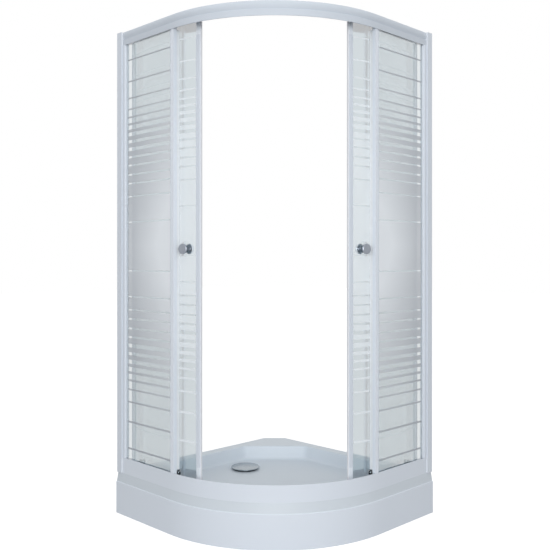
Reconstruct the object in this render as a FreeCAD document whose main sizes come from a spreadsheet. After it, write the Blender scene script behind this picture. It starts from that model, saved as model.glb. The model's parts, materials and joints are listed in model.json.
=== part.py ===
import FreeCAD, Part
import os
import re

import Sketcher

# Corner shower enclosure: a quadrant tray, two fixed framed panes and two curved sliding doors.
# Millimetres, +Z up, origin on the floor under the middle of the tray; the room's walls stand at -X and +Y.
# Left and right are as seen from the room. A place on the left side is given by its distance along the
# panel from the wall and its inset from the tray's outer line; the right side mirrors the left.

SIZES = {
    # Plan, height and cuts
    "tray_side": 900,
    "front_radius": 550,
    "total_height": 1925,
    "overrun": 5,
    # Tray shell
    "tray_height": 163,
    "shell_wall": 5,
    "shoulder_foot_inset": 3,
    "shoulder_top_inset": 10,
    "corner_cut": 70,
    "floor_height": 105,
    "ledge_width": 45,
    "deck_width": 95,
    "shelf_depth": 206,
    "basin_draft": 12,
    "basin_corner_round": 40,
    "basin_floor_round": 14,
    "deck_edge_round": 6,
    # Apron
    "apron_height": 127,
    "apron_wall": 4,
    "apron_flange": 14,
    "apron_round": 3,
    "clip_width": 30,
    "clip_wall": 3,
    "clip_drop": 30,
    "clip_rise": 24,
    "clip_near_share": 0.25,
    "clip_far_share": 0.75,
    # Tube frame and feet
    "tube_side": 25,
    "tube_wall": 2,
    "tube_margin": 20,
    "front_tube_inset": 270,
    "back_tube_inset": 190,
    "cross_spacing": 250,
    "foot_margin": 24,
    "foot_radius": 25,
    "foot_rim": 5,
    "foot_height": 14,
    "foot_neck_radius": 10,
    "stud_radius": 6,
    "thread_gap": 0.1,
    "nut_radius": 10.5,
    "nut_height": 10,
    # Drain
    "drain_from_left_wall": 176,
    "drain_from_right_wall": 357,
    "drain_radius": 43,
    "flange_radius": 52,
    "flange_lip": 2,
    "flange_tube": 30,
    "flange_wall": 3,
    "flange_seat": 8,
    "gasket_height": 3,
    "gasket_radius": 56,
    "trap_radius": 53,
    "trap_wall": 3,
    "trap_floor": 22,
    "spigot_radius": 20,
    "spigot_wall": 3,
    "spigot_height": 50,
    "spigot_reach": 60,
    "spigot_collar_radius": 24,
    "spigot_collar": 10,
    "cover_radius": 61,
    "cover_wall": 3,
    "cover_crown": 1,
    "cover_edge": 4,
    "cover_water_gap": 5,
    "cover_leg_width": 10,
    "cover_leg_wall": 3,
    "cover_leg_gap": 1,
    # Rails
    "rail_inset": 10,
    "rail_depth": 74,
    "rail_wall": 2.5,
    "rail_height": 62,
    "rail_lip": 22,
    "rail_back_rise": 33,
    "header_height": 54,
    "header_band": 23,
    "header_lip": 30,
    "header_back_drop": 17,
    "cove_depth": 4,
    "cove_rise": 2,
    "lip_wall": 2,
    "glass_wall": 5,
    "pane_inset": 17,
    "pane_gap": 0.3,
    "pane_edge_gap": 3,
    # Wall profile and rail end blocks
    "wall_grip": 30,
    "wall_back_grip": 18,
    "wall_face_inset": 4,
    "wall_depth": 36,
    "wall_skin": 2.5,
    "screw_radius": 2.75,
    "screw_end": 120,
    "screw_room": 4,
    "block_tongue": 22,
    "block_tongue_width": 10,
    "block_tongue_height": 24,
    # Side stile at the wall and end stile at the doorway
    "side_nose": 18,
    "side_inset": 9,
    "side_depth": 16,
    "side_skin": 2,
    "side_round": 5,
    "side_grip": 10,
    "end_width": 14,
    "end_past": 7,
    "end_inset": 13,
    "end_depth": 15.5,
    "end_grip": 9,
    "seal_base": 10,
    "seal_fin": 2,
    "seal_foot": 1.5,
    "seal_reach": 17.5,
    "seal_rise": 8,
    # Run of a door about its pole
    "pole_share": 0.3594,
    "run_near": 39.8,
    "run_spread": 26.1,
    "trail_start": 25,
    "trail_gap": 23,
    "meet_gap": 1.2,
    # Door glass, stiles and strip
    "door_glass_rise": 33,
    "door_glass_drop": 9,
    "door_stile_width": 15,
    "door_stile_depth": 14,
    "door_stile_round": 2.5,
    "door_grip": 9,
    "stile_rise": 40,
    "stile_drop": 36,
    "foot_cap": 49,
    "head_cap": 47,
    "magnet_width": 4,
    "magnet_depth": 7,
    # Rollers, tracks and stops
    "upper_wheel_radius": 11,
    "lower_wheel_radius": 10,
    "wheel_width": 4,
    "wheel_hub_radius": 6.5,
    "wheel_dish": 1.6,
    "wheel_offset": 8,
    "wheel_from_trail": 95,
    "wheel_from_lead": 112,
    "run_gap": 0.3,
    "axle_radius": 3,
    "axle_gap": 0.05,
    "axle_head_radius": 5,
    "axle_head": 0.9,
    "axle_shank_radius": 4,
    "axle_collar_radius": 6,
    "axle_cap_radius": 9,
    "axle_cap": 3,
    "seat_gap": 0.1,
    "hole_gap": 0.1,
    "track_drop": 31.3,
    "track_wall": 2.5,
    "track_web": 1.5,
    "track_side": 1.2,
    "track_tail": 26,
    "guide_rise": 43.7,
    "guide_fin": 3.4,
    "guide_foot": 10,
    "stop_length": 10,
    "stop_height": 8,
    "stop_gap": 1,
    # Knobs
    "knob_height": 1055,
    "knob_from_lead": 71.5,
    "knob_clear": 4,
    "knob_radius": 19,
    "knob_wall": 8,
    "knob_edge": 1.5,
    "knob_neck_radius": 8,
    "knob_reach": 24,
    "knob_bolt_radius": 3,
    "washer_radius": 9,
    "washer_wall": 1,
}

# Places worked out from the sizes: levels, the rails' bend and the circle each door runs on
PLACES = {
    "panel": "tray_side - front_radius",
    "bend_x": "tray_side/2 - front_radius",
    "bend_y": "front_radius - tray_side/2",
    "rail_top": "tray_height + rail_height",
    "rail_floor": "tray_height + rail_wall",
    "rail_back": "rail_inset + rail_depth",
    "header_low": "total_height - header_height",
    "header_roof": "total_height - rail_wall",
    "crown_half": "(header_height - header_band - cove_rise)/2",
    "crown_radius": "(cove_depth^2 + crown_half^2)/(2*cove_depth)",
    "header_lip_low": "total_height - header_lip",
    "header_back_low": "total_height - header_back_drop",
    "rail_lip_top": "tray_height + rail_lip",
    "rail_back_top": "tray_height + rail_back_rise",
    "slot_out": "pane_inset - pane_gap",
    "slot_in": "pane_inset + glass_wall + pane_gap",
    "basin_cut": "shelf_depth*sqrt(2) - 2*ledge_width",
    "pan_bottom": "floor_height - shell_wall",
    "tube_foot": "floor_height - shell_wall - tube_side",
    "drain_x": "drain_from_left_wall - tray_side/2",
    "drain_y": "tray_side/2 - drain_from_right_wall",
    "end_stop": "panel + end_past",
    "end_start": "panel + end_past - end_width",
    "pole_back": "pole_share*panel",
    "pole_in": "(pole_back^2 - run_spread^2)/(2*run_spread)",
    "pole_x": "bend_x - pole_back",
    "pole_y": "bend_y + pole_in",
    "run_radius": "front_radius + pole_in - run_near",
    "glass_out": "run_radius + glass_wall/2",
    "glass_in": "run_radius - glass_wall/2",
    "wheel_in": "run_radius + wheel_offset",
    "wheel_out": "run_radius + wheel_offset + wheel_width",
    "track_top": "total_height - track_drop",
    "guide_top": "tray_height + guide_rise",
    "upper_axle": "track_top + run_gap + upper_wheel_radius",
    "lower_axle": "guide_top + run_gap + lower_wheel_radius",
    "stile_low": "tray_height + stile_rise",
    "stile_high": "total_height - stile_drop",
}

# Bearings about a door's pole, measured from straight out of the left panel towards the doorway
BEARINGS = {
    "trail_limit": "asin((trail_start - panel + pole_back)/run_radius)",
    "knob_limit": "asin((end_stop + knob_clear + knob_radius - panel + pole_back)/run_radius)",
    "trail_shut": "asin((end_start - trail_gap - door_stile_width - panel + pole_back)/run_radius)",
    "lead_shut": "acos((pole_x + pole_y)/(sqrt(2)*run_radius)) - 45deg - meet_gap/run_radius*1rad",
    "lead_open": "max(knob_limit + knob_from_lead/run_radius*1rad; trail_limit + lead_shut - trail_shut)",
    "travel": "lead_shut - lead_open",
    "trail_open": "trail_shut - travel",
    "trail_wheel": "trail_open + wheel_from_trail/run_radius*1rad",
    "lead_wheel": "lead_open - wheel_from_lead/run_radius*1rad",
    "knob_bearing": "lead_open - knob_from_lead/run_radius*1rad",
    "track_start": "trail_wheel - track_tail/run_radius*1rad",
    "track_end": "lead_wheel + travel + track_tail/run_radius*1rad",
}

QUARTER_TURN = 90
FULL_TURN = 360
AXLE_LEVELS = ("upper_axle", "lower_axle")

doc = FreeCAD.newDocument("corner_shower_enclosure")
sheet = doc.addObject("Spreadsheet::Sheet", "Sizes")
for row, (alias, number) in enumerate(SIZES.items(), 1):
    sheet.set(f"A{row}", alias)
    sheet.set(f"B{row}", str(number))
    sheet.setAlias(f"B{row}", alias)
places = doc.addObject("App::VarSet", "Places")
nodes = {}


def sized(formula):
    """The formula with each name led back to the object that holds it."""

    def owner(match):
        name = match.group(0)
        if name in SIZES:
            return f"Sizes.{name}"
        if name in PLACES or name in BEARINGS:
            return f"Places.{name}"
        return name

    return re.sub(r"[a-z_]+", owner, str(formula))


def value(formula):
    """The number that a formula of named sizes comes to."""
    result = sheet.evalExpression(sized(formula))
    return float(getattr(result, "Value", result))


def bind(thing, prop, formula):
    """Tie a property to a formula of named sizes."""
    thing.setExpression(prop, sized(formula))


for kind, table in (("App::PropertyFloat", PLACES), ("App::PropertyAngle", BEARINGS)):
    for alias, formula in table.items():
        places.addProperty(kind, alias)
        bind(places, alias, formula)
doc.recompute()


def along(length):
    """The angle that a length along the door's middle takes up about its pole."""
    return f"({length})/run_radius*1rad"


def new_body(name, x="0", y="0", z="0"):
    """An empty body whose own origin stands at a place."""
    body = doc.addObject("PartDesign::Body", name)
    bind(body, "Placement.Base.x", x)
    bind(body, "Placement.Base.y", y)
    bind(body, "Placement.Base.z", z)
    return body


def keep(thing, name):
    """Make an object one node of the part."""
    thing.Label = name
    nodes[name] = thing
    return thing


def keep_mirrored(source, name):
    """Make a node that mirrors a left-hand piece across the enclosure's diagonal."""
    twin = doc.addObject("Part::Mirroring", name)
    twin.Source = source
    twin.Normal = FreeCAD.Vector(1, 1, 0)
    return keep(twin, name)


def keep_group(things, name):
    """Make one node of separate like solids."""
    group = doc.addObject("Part::Compound", name)
    group.Links = things
    return keep(group, name)


def twin_of(source):
    """A mirrored copy that is part of a group."""
    twin = doc.addObject("Part::Mirroring", source.Name + "_twin")
    twin.Source = source
    twin.Normal = FreeCAD.Vector(1, 1, 0)
    return twin


def new_sketch(body, role, lift="0"):
    """A sketch on one of its body's own planes, moved along that plane's normal."""
    sketch = body.newObject("Sketcher::SketchObject", body.Name + "_sketch")
    plane = [feature for feature in body.Origin.OriginFeatures if feature.Role == role][0]
    sketch.AttachmentSupport = [(plane, "")]
    sketch.MapMode = "FlatFace"
    bind(sketch, "AttachmentOffset.Base.z", lift)
    return sketch


def radial_sketch(body, bearing, height="0"):
    """An upright sketch through the pole at a bearing, with its own origin at a height."""
    sketch = new_sketch(body, "XZ_Plane")
    upright = FreeCAD.Rotation(FreeCAD.Vector(0, 1, 0), QUARTER_TURN)
    sketch.AttachmentOffset = FreeCAD.Placement(FreeCAD.Vector(0, 0, 0), upright)
    bind(sketch, "AttachmentOffset.Base.y", height)
    bind(sketch, "AttachmentOffset.Rotation.Angle", f"{bearing} - 90deg")
    return sketch


def draw(sketch, corners, arcs=None):
    """Close an outline through corners; arcs gives a side's radius and centre by the side's number."""
    arcs = arcs or {}
    points = [FreeCAD.Vector(value(x), value(y), 0) for x, y in corners]
    first = sketch.GeometryCount
    ends = []
    for side, start in enumerate(points):
        stop = points[(side + 1) % len(points)]
        if side not in arcs:
            sketch.addGeometry(Part.LineSegment(start, stop), False)
            ends.append((1, 2))
            continue
        radius, centre_x, centre_y = arcs[side]
        centre = FreeCAD.Vector(value(centre_x), value(centre_y), 0)
        circle = Part.Circle(centre, FreeCAD.Vector(0, 0, 1), value(radius))
        turns_left = (start - centre).cross(stop - centre).z > 0
        low, high = (start, stop) if turns_left else (stop, start)
        sketch.addGeometry(Part.ArcOfCircle(circle, circle.parameter(low), circle.parameter(high)), False)
        ends.append((1, 2) if turns_left else (2, 1))
        place = sketch.addConstraint(Sketcher.Constraint("Radius", first + side, value(radius)))
        bind(sketch, f"Constraints[{place}]", radius)
    for side, (x, y) in enumerate(corners):
        before = (side - 1) % len(corners)
        joint = (first + before, ends[before][1], first + side, ends[side][0])
        sketch.addConstraint(Sketcher.Constraint("Coincident", *joint))
        for direction, formula in (("DistanceX", x), ("DistanceY", y)):
            spot = (-1, 1, first + side, ends[side][0], value(formula))
            place = sketch.addConstraint(Sketcher.Constraint(direction, *spot))
            bind(sketch, f"Constraints[{place}]", formula)
    return sketch


def draw_circle(sketch, x, y, radius):
    """A circle at a place."""
    centre = FreeCAD.Vector(value(x), value(y), 0)
    side = sketch.addGeometry(Part.Circle(centre, FreeCAD.Vector(0, 0, 1), value(radius)), False)
    place = sketch.addConstraint(Sketcher.Constraint("Radius", side, value(radius)))
    bind(sketch, f"Constraints[{place}]", radius)
    for direction, formula in (("DistanceX", x), ("DistanceY", y)):
        place = sketch.addConstraint(Sketcher.Constraint(direction, -1, 1, side, 3, value(formula)))
        bind(sketch, f"Constraints[{place}]", formula)
    return sketch


def rectangle(low_x, low_y, high_x, high_y):
    """The four corners of a rectangle."""
    return [(low_x, low_y), (high_x, low_y), (high_x, high_y), (low_x, high_y)]


def pad(body, sketch, length, back=False):
    """Push an outline out along its sketch's normal, or back against it."""
    feature = body.newObject("PartDesign::Pad", body.Name + "_pad")
    feature.Profile = sketch
    feature.Reversed = back
    bind(feature, "Length", length)
    return feature


def pocket(body, sketch, length, forward=False):
    """Cut an outline back against its sketch's normal, or forward along it."""
    feature = body.newObject("PartDesign::Pocket", body.Name + "_pocket")
    feature.Profile = sketch
    feature.Reversed = forward
    bind(feature, "Length", length)
    return feature


def turn(body, sketch, axis, angle, cut=False):
    """Turn an outline about an axis of its own sketch, as material or as a cut."""
    kind = "PartDesign::Groove" if cut else "PartDesign::Revolution"
    feature = body.newObject(kind, body.Name + "_turn")
    feature.Profile = sketch
    feature.ReferenceAxis = (sketch, [axis])
    bind(feature, "Angle", angle)
    return feature


def loft(body, low, high, cut=False):
    """Join two outlines by ruled walls, as material or as a cut."""
    kind = "PartDesign::SubtractiveLoft" if cut else "PartDesign::AdditiveLoft"
    feature = body.newObject(kind, body.Name + "_loft")
    feature.Profile = low
    feature.Sections = [high]
    feature.Ruled = True
    return feature


def round_edges(body, radius, wanted):
    """Round the edges of the body's last feature that a test picks out."""
    doc.recompute()
    base = body.Tip
    names = [f"Edge{number}" for number, edge in enumerate(base.Shape.Edges, 1) if wanted(edge)]
    feature = body.newObject("PartDesign::Fillet", body.Name + "_round")
    feature.Base = (base, names)
    bind(feature, "Radius", radius)
    return feature


def quadrant_outline(front, wall, cut, offset="0"):
    """The tray's plan: set in from its front and its walls, with the back corner cut off."""
    low = f"{wall} + {offset} - tray_side/2"
    high = f"tray_side/2 - {wall} - ({offset})"
    near = f"{front} + {offset} - tray_side/2"
    far = f"tray_side/2 - {front} - ({offset})"
    leg = f"({cut} + ({offset})*(sqrt(2) - 2))"
    corners = [(low, near), ("bend_x", near), (far, "bend_y"), (far, high)]
    corners += [(f"{low} + {leg}", high), (low, f"{high} - {leg}")]
    bend = {1: (f"front_radius - {front} - ({offset})", "bend_x", "bend_y")}
    return corners, bend


def quadrant(body, level, *plan):
    """A sketch of the tray's plan at a level."""
    return draw(new_sketch(body, "XY_Plane", level), *quadrant_outline(*plan))


def bent_profile(name, section, start, arcs=None):
    """A profile that runs from the left wall, round the bend and on to the right wall."""
    body = new_body(name, "bend_x", "bend_y")
    arcs = arcs or {}
    left = [(f"{inset} - front_radius", level) for inset, level in section]
    right = [(f"front_radius - ({inset})", level) for inset, level in section]
    left_arcs = {side: (r, f"{x} - front_radius", z) for side, (r, x, z) in arcs.items()}
    right_arcs = {side: (r, f"front_radius - ({x})", z) for side, (r, x, z) in arcs.items()}
    bend = draw(new_sketch(body, "YZ_Plane"), left, left_arcs)
    turn(body, bend, "V_Axis", QUARTER_TURN)
    pad(body, bend, f"panel - ({start})", back=True)
    pad(body, draw(new_sketch(body, "XZ_Plane"), right, right_arcs), f"panel - ({start})", back=True)
    return keep(body, name)


def upright(name, section, low, high, hollow=None):
    """A straight left-hand profile that stands on end, its section given along the panel and inwards."""
    body = new_body(name, "-tray_side/2", "-tray_side/2")
    sketch = draw(new_sketch(body, "XY_Plane", low), section)
    if hollow:
        draw(sketch, hollow)
    pad(body, sketch, f"{high} - ({low})")
    return body


def upright_edge_at(x, y):
    """A test for a vertical edge at a place of the body's own frame."""
    spot = FreeCAD.Vector(value(x), value(y), 0)

    def test(edge):
        ends = [FreeCAD.Vector(vertex.X, vertex.Y, 0) for vertex in edge.Vertexes]
        return len(ends) == 2 and all(point.isEqual(spot, value("run_gap")) for point in ends)

    return test


def edge_between(low, high):
    """A test for an edge whose ends lie at two levels."""
    wanted = sorted((value(low), value(high)))

    def test(edge):
        levels = sorted(vertex.Z for vertex in edge.Vertexes)
        return len(levels) == 2 and all(abs(a - b) < value("axle_gap") for a, b in zip(levels, wanted))

    return test


def basin_rim_edge(edge):
    """Whether an edge runs round the basin at the deck's level."""
    limit = value("tray_side/2 - ledge_width + run_gap")
    inside = all(max(abs(vertex.X), abs(vertex.Y)) < limit for vertex in edge.Vertexes)
    return inside and edge_between("tray_height", "tray_height")(edge)


def make_tray_shell():
    """The formed acrylic shell: tapered shoulder, deck, basin with a shelf across its back corner."""
    body = new_body("tray_shell")
    deck = ("shoulder_top_inset", "0", "corner_cut")
    basin = ("deck_width", "ledge_width", "basin_cut")
    shoulder = quadrant(body, "apron_height", "shoulder_foot_inset", "0", "corner_cut")
    loft(body, shoulder, quadrant(body, "tray_height", *deck))
    under = quadrant(body, "apron_height", *deck, "shell_wall")
    draw(under, *quadrant_outline(*basin, "-shell_wall"))
    pocket(body, under, "tray_height - shell_wall - apron_height", forward=True)
    pan = quadrant(body, "pan_bottom", *basin, "basin_draft - shell_wall")
    loft(body, pan, quadrant(body, "tray_height - shell_wall", *basin, "-shell_wall"))
    floor = quadrant(body, "floor_height", *basin, "basin_draft")
    loft(body, floor, quadrant(body, "tray_height", *basin), cut=True)
    round_edges(body, "basin_corner_round", edge_between("floor_height", "tray_height"))
    round_edges(body, "basin_floor_round", edge_between("floor_height", "floor_height"))
    round_edges(body, "deck_edge_round", basin_rim_edge)
    hole = draw_circle(new_sketch(body, "XY_Plane", "floor_height"), "drain_x", "drain_y", "drain_radius")
    pocket(body, hole, "shell_wall + overrun")
    return keep(body, "tray_shell")


def make_apron():
    """The panel that hides the tray's underside, with a folded flange under the shoulder, and its clips."""
    section = [
        ("0", "0"),
        ("0", "apron_height - apron_round"),
        ("apron_round", "apron_height"),
        ("apron_flange", "apron_height"),
        ("apron_flange", "apron_height - apron_wall"),
        ("apron_wall", "apron_height - apron_wall"),
        ("apron_wall", "0"),
    ]
    rounding = {1: ("apron_round", "apron_round", "apron_height - apron_round")}
    bent_profile("front_apron", section, "0", rounding)
    plate = "shoulder_top_inset + shell_wall"
    low = "apron_height - clip_drop"
    hook = [
        ("apron_wall", low),
        (f"{plate} + clip_wall", low),
        (f"{plate} + clip_wall", "apron_height + clip_rise"),
        (plate, "apron_height + clip_rise"),
        (plate, f"{low} + clip_wall"),
        ("apron_wall", f"{low} + clip_wall"),
    ]
    clips = []
    for share in ("clip_near_share", "clip_far_share"):
        clip = new_body("apron_clip", f"{share}*panel - tray_side/2", "-tray_side/2")
        pad(clip, draw(new_sketch(clip, "YZ_Plane"), hook), "clip_width")
        clips += [clip, twin_of(clip)]
    keep_group(clips, "apron_clips")


def make_frame():
    """The welded square-tube frame under the basin, on screwed feet."""
    front_y = "front_tube_inset - tray_side/2"
    back_y = "tray_side/2 - back_tube_inset"
    reach = "(front_radius - deck_width - basin_draft - tube_margin)"
    front_low = "ledge_width + basin_draft + tube_margin - tray_side/2"
    front_high = f"bend_x + sqrt({reach}^2 - (bend_y - ({front_y}))^2)"
    back_low = "(shelf_depth + basin_draft)*sqrt(2) + tube_margin - back_tube_inset - tray_side/2"
    back_high = f"bend_x + {reach}"
    low = "tube_foot"
    tubes = []

    def tube_section(sketch, middle):
        """A square tube's outer and inner outline about a middle."""
        half = "tube_side/2"
        draw(sketch, rectangle(f"{middle} - {half}", low, f"{middle} + {half}", "pan_bottom"))
        inner = (f"{middle} - {half} + tube_wall", f"{low} + tube_wall")
        outer = (f"{middle} + {half} - tube_wall", "pan_bottom - tube_wall")
        return draw(sketch, rectangle(*inner, *outer))

    for y, start, stop in ((front_y, front_low, front_high), (back_y, back_low, back_high)):
        tube = new_body("frame_tube")
        pad(tube, tube_section(new_sketch(tube, "YZ_Plane", start), f"({y})"), f"{stop} - ({start})")
        tubes.append(tube)
    for x in ("-cross_spacing/2", "cross_spacing/2"):
        tube = new_body("frame_cross")
        start = f"-({front_y} + tube_side/2)"
        section = tube_section(new_sketch(tube, "XZ_Plane", start), f"({x})")
        pad(tube, section, f"({back_y}) - ({front_y}) - tube_side", back=True)
        tubes.append(tube)
    keep_group(tubes, "tube_frame")
    spots = [(f"{front_low} + foot_margin", front_y), (f"{front_high} - foot_margin", front_y)]
    spots += [(f"{back_low} + foot_margin", back_y), (f"{back_high} - foot_margin", back_y)]
    make_feet(spots)


def make_feet(spots):
    """A pad, a stud and a lock nut under the frame at each spot."""
    pads = []
    studs = []
    nuts = []
    shape = [("0", "0"), ("foot_radius", "0"), ("foot_radius", "foot_rim")]
    shape += [("foot_neck_radius", "foot_height"), ("0", "foot_height")]
    for x, y in spots:
        foot = new_body("foot_pad", x, y)
        turn(foot, draw(new_sketch(foot, "XZ_Plane"), shape), "V_Axis", FULL_TURN)
        pads.append(foot)
        stud = doc.addObject("Part::Cylinder", "foot_stud")
        bind(stud, "Radius", "stud_radius")
        bind(stud, "Height", "tube_foot - foot_height")
        bind(stud, "Placement.Base.z", "foot_height")
        nut = new_body("foot_nut", x, y, "tube_foot - nut_height")
        hexagon = new_sketch(nut, "XY_Plane")
        half_flat = "nut_radius*sqrt(3)/2"
        upper = [("nut_radius", "0"), ("nut_radius/2", half_flat), ("-nut_radius/2", half_flat)]
        lower = [("-nut_radius", "0"), ("-nut_radius/2", f"-{half_flat}")]
        lower.append(("nut_radius/2", f"-{half_flat}"))
        draw(hexagon, upper + lower)
        pad(nut, draw_circle(hexagon, "0", "0", "stud_radius + thread_gap"), "nut_height")
        bind(stud, "Placement.Base.x", x)
        bind(stud, "Placement.Base.y", y)
        studs.append(stud)
        nuts.append(nut)
    keep_group(pads, "foot_pads")
    keep_group(studs, "foot_studs")
    keep_group(nuts, "foot_nuts")


def make_drain():
    """The waste: flange in the tray's hole, gasket and trap below, lift-off cover on legs above."""
    tube = "(drain_radius - run_gap)"
    bore = f"({tube} - flange_wall)"
    tube_low = "floor_height - flange_tube"
    seat_top = f"{tube_low} + flange_wall"
    flange_top = "floor_height + flange_lip"
    flange = new_body("drain_flange", "drain_x", "drain_y")
    collar = [
        (bore, flange_top),
        ("flange_radius", flange_top),
        ("flange_radius", "floor_height"),
        (tube, "floor_height"),
        (tube, tube_low),
        (f"{bore} - flange_seat", tube_low),
        (f"{bore} - flange_seat", seat_top),
        (bore, seat_top),
    ]
    turn(flange, draw(new_sketch(flange, "XZ_Plane"), collar), "V_Axis", FULL_TURN)
    keep(flange, "drain_flange")

    gasket = new_body("drain_gasket", "drain_x", "drain_y")
    ring = rectangle("drain_radius", "pan_bottom - gasket_height", "gasket_radius", "pan_bottom")
    turn(gasket, draw(new_sketch(gasket, "XZ_Plane"), ring), "V_Axis", FULL_TURN)
    keep(gasket, "drain_gasket")

    trap = new_body("drain_trap", "drain_x", "drain_y")
    rim = "pan_bottom - gasket_height"
    cup = [
        ("0", "trap_floor"),
        ("trap_radius", "trap_floor"),
        ("trap_radius", rim),
        ("trap_radius - trap_wall", rim),
        ("trap_radius - trap_wall", "trap_floor + trap_wall"),
        ("0", "trap_floor + trap_wall"),
    ]
    turn(trap, draw(new_sketch(trap, "XZ_Plane"), cup), "V_Axis", FULL_TURN)
    end = "-trap_radius - spigot_reach"
    inside = "trap_radius - sqrt(trap_radius^2 - spigot_collar_radius^2)"
    spigot = draw_circle(new_sketch(trap, "YZ_Plane", end), "0", "spigot_height", "spigot_radius")
    pad(trap, spigot, "spigot_reach")
    rim_place = "-trap_radius - spigot_collar"
    rim_size = ("0", "spigot_height", "spigot_collar_radius")
    pad(trap, draw_circle(new_sketch(trap, "YZ_Plane", rim_place), *rim_size), f"spigot_collar + {inside}")
    hollow = ("0", "spigot_height", "spigot_radius - spigot_wall")
    mouth = draw_circle(new_sketch(trap, "YZ_Plane", end), *hollow)
    pocket(trap, mouth, f"spigot_reach + {inside} + trap_wall", forward=True)
    keep(trap, "drain_trap")

    cover = new_body("drain_cover", "drain_x", "drain_y")
    edge = f"({flange_top} + cover_water_gap)"
    top = f"({edge} + cover_edge)"
    dome = [
        ("0", f"{top} - cover_wall"),
        ("cover_radius - cover_wall", f"{top} - cover_wall"),
        ("cover_radius - cover_wall", edge),
        ("cover_radius", edge),
        ("cover_radius", f"{top} - cover_crown"),
        ("cover_radius - cover_crown", top),
        ("0", f"{top} + cover_crown"),
    ]
    turn(cover, draw(new_sketch(cover, "XZ_Plane"), dome), "V_Axis", FULL_TURN)
    leg_out = f"({bore} - cover_leg_gap)"
    foot = rectangle(f"{leg_out} - cover_leg_wall", "-cover_leg_width/2", leg_out, "cover_leg_width/2")
    leg_sketch = draw(new_sketch(cover, "XY_Plane", seat_top), foot)
    leg = pad(cover, leg_sketch, f"{top} - cover_wall - ({seat_top})")
    legs = cover.newObject("PartDesign::PolarPattern", "cover_legs")
    legs.Originals = [leg]
    legs.Axis = (leg_sketch, ["N_Axis"])
    legs.Angle = FULL_TURN
    legs.Occurrences = 4
    cover.Tip = legs
    keep(cover, "drain_cover")


def make_rails():
    """The bottom rail and the header: bent channels with a slot for the fixed panes."""
    face = "rail_inset"
    skin = "rail_inset + rail_wall"
    back_skin = "rail_back - rail_wall"
    bottom = [
        (face, "tray_height"),
        (face, "rail_top"),
        (skin, "rail_top"),
        (skin, "rail_floor"),
        ("slot_out - lip_wall", "rail_floor"),
        ("slot_out - lip_wall", "rail_lip_top"),
        ("slot_out", "rail_lip_top"),
        ("slot_out", "rail_floor"),
        ("slot_in", "rail_floor"),
        ("slot_in", "rail_lip_top"),
        ("slot_in + lip_wall", "rail_lip_top"),
        ("slot_in + lip_wall", "rail_floor"),
        (back_skin, "rail_floor"),
        (back_skin, "rail_back_top"),
        ("rail_back", "rail_back_top"),
        ("rail_back", "tray_height"),
    ]
    bent_profile("bottom_rail", bottom, "wall_grip")
    band_top = "header_low + header_band"
    header = [
        (f"{face} + cove_depth", "total_height"),
        ("rail_back", "total_height"),
        ("rail_back", "header_back_low"),
        (back_skin, "header_back_low"),
        (back_skin, "header_roof"),
        ("slot_in + lip_wall", "header_roof"),
        ("slot_in + lip_wall", "header_lip_low"),
        ("slot_in", "header_lip_low"),
        ("slot_in", "header_roof"),
        ("slot_out", "header_roof"),
        ("slot_out", "header_lip_low"),
        (skin, "header_lip_low"),
        (skin, "header_low"),
        (face, "header_low"),
        (face, band_top),
        (f"{face} + cove_depth", f"{band_top} + cove_rise"),
    ]
    crown = ("crown_radius", f"{face} + crown_radius", "total_height - crown_half")
    bent_profile("header_rail", header, "wall_grip", {len(header) - 1: crown})
    for name, low, high, tongue_low in (
        ("bottom_end_blocks", "tray_height", "rail_top", "rail_floor"),
        ("header_end_blocks", "header_low", "total_height", "header_roof - block_tongue_height"),
    ):
        block = new_body(name + "_left", "-tray_side/2", "-tray_side/2")
        out = "wall_face_inset + wall_skin"
        back = "wall_face_inset + wall_depth - wall_skin"
        plug = draw(new_sketch(block, "XY_Plane", low), rectangle("wall_skin", out, "wall_grip", back))
        pad(block, plug, f"{high} - ({low})")
        near = f"{back} - wall_skin/2 - block_tongue_width"
        far = f"{back} - wall_skin/2"
        outline = rectangle("wall_grip", near, "wall_grip + block_tongue", far)
        tongue = draw(new_sketch(block, "XY_Plane", tongue_low), outline)
        pad(block, tongue, "block_tongue_height")
        keep_group([block, twin_of(block)], name)


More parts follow.
